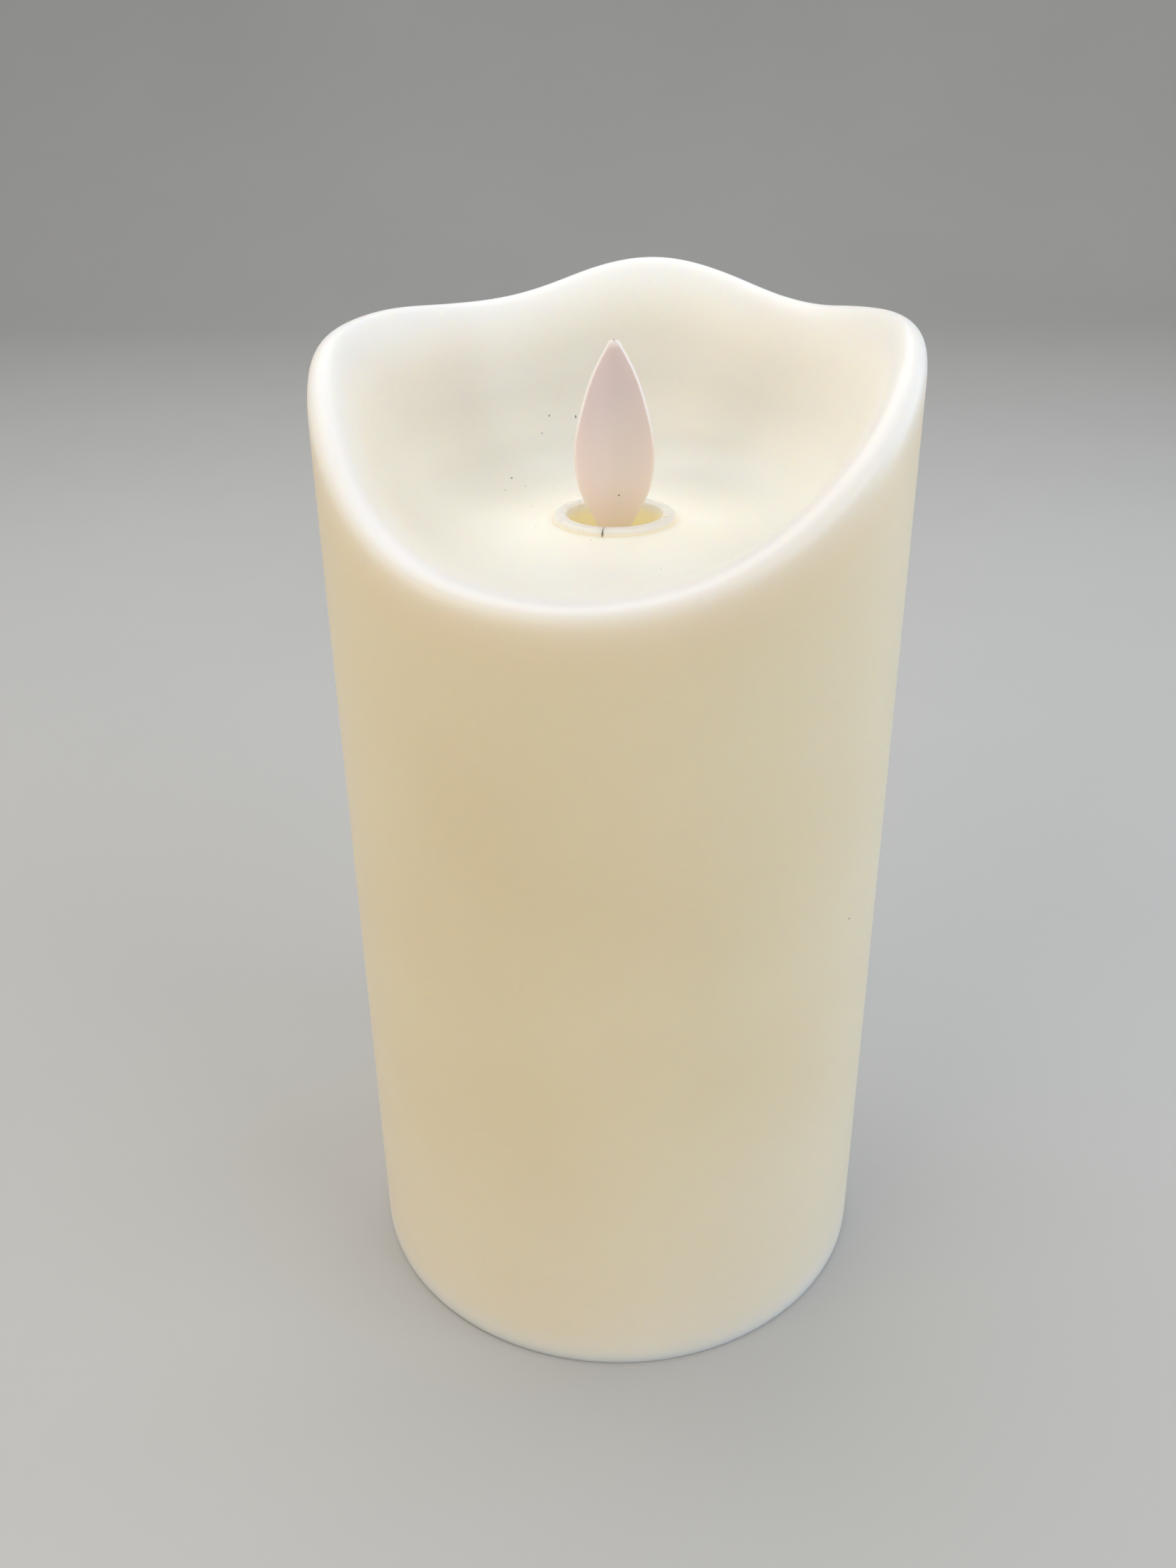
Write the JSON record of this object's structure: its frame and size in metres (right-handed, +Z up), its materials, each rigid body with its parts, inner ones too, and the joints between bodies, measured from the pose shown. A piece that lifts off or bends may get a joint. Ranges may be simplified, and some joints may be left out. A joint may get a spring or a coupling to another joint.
{
  "type": "flameless led candle",
  "caption": "Ivory wax pillar with a dished, wavy rim and a leaf shaped flame that swings on a wire over a small electromagnet; battery door and slide switch underneath.",
  "frame": {"origin": "centre of the ring the candle stands on", "axes": "+Z up along the candle, the low lip of the rim faces -Y, +X to the right seen from the front"},
  "size_m": [0.08, 0.08, 0.1493],
  "materials": {
    "wax": "satin",
    "collar_plastic": "translucent",
    "flame_plastic": "translucent satin",
    "ivory_abs": "satin",
    "white_abs": "satin",
    "steel": "bright",
    "magnet_plate": "nickel plated",
    "board_green": "solder mask",
    "board_brown": "paper laminate",
    "copper": "enamelled copper",
    "black_plastic": "moulded",
    "chip_black": "moulded epoxy",
    "capacitor_sleeve": "shrink sleeve",
    "led_amber": "clear epoxy",
    "tin": "tinned",
    "cell_jacket": "printed sleeve",
    "wire_red": "satin",
    "wire_black": "satin"
  },
  "bodies": {
    "candle": {"wax_shell": "wax", "flame_collar": "collar_plastic", "pivot_wire": "steel", "module_cover": "ivory_abs", "module_cup": "ivory_abs", "module_screws": "steel", "control_board": "board_green", "coil_bobbin": "white_abs", "coil_winding": "copper", "coil_leads": "copper", "led_front": "led_amber", "led_rear": "led_amber", "led_leads": "tin", "driver_chip": "chip_black", "chip_pins": "tin", "smoothing_capacitor": "capacitor_sleeve", "coil_transistor": "chip_black", "transistor_pins": "tin", "resistors": "chip_black", "base_housing": "ivory_abs", "battery_front": "cell_jacket", "battery_rear": "cell_jacket", "positive_contact": "tin", "negative_contact": "tin", "negative_spring": "steel", "jumper_plate": "tin", "jumper_spring": "steel", "switch_case": "steel", "switch_board": "board_brown", "switch_pins": "tin", "switch_screws": "steel", "wire_red": "wire_red", "wire_switch": "wire_red", "wire_black": "wire_black"},
    "flame": {"flame_paddle": "flame_plastic", "flame_magnet": "magnet_plate"},
    "door": {"battery_door": "ivory_abs"},
    "slider": {"switch_slider": "black_plastic"}
  },
  "joints": [
    {"name": "flame_swing", "type": "hinge", "parent": "candle", "child": "flame", "pos_m": [0, 0, 0.11305], "axis": [0, 1, 0], "range_deg": [-15, 15]},
    {"name": "door_hinge", "type": "hinge", "parent": "candle", "child": "door", "pos_m": [-0.026, 0, 0.0021], "axis": [0, 1, 0], "range_deg": [0, 75]},
    {"name": "switch_slide", "type": "slide", "parent": "candle", "child": "slider", "axis": [1, 0, 0], "range_m": [0, 0.004]}
  ]
}
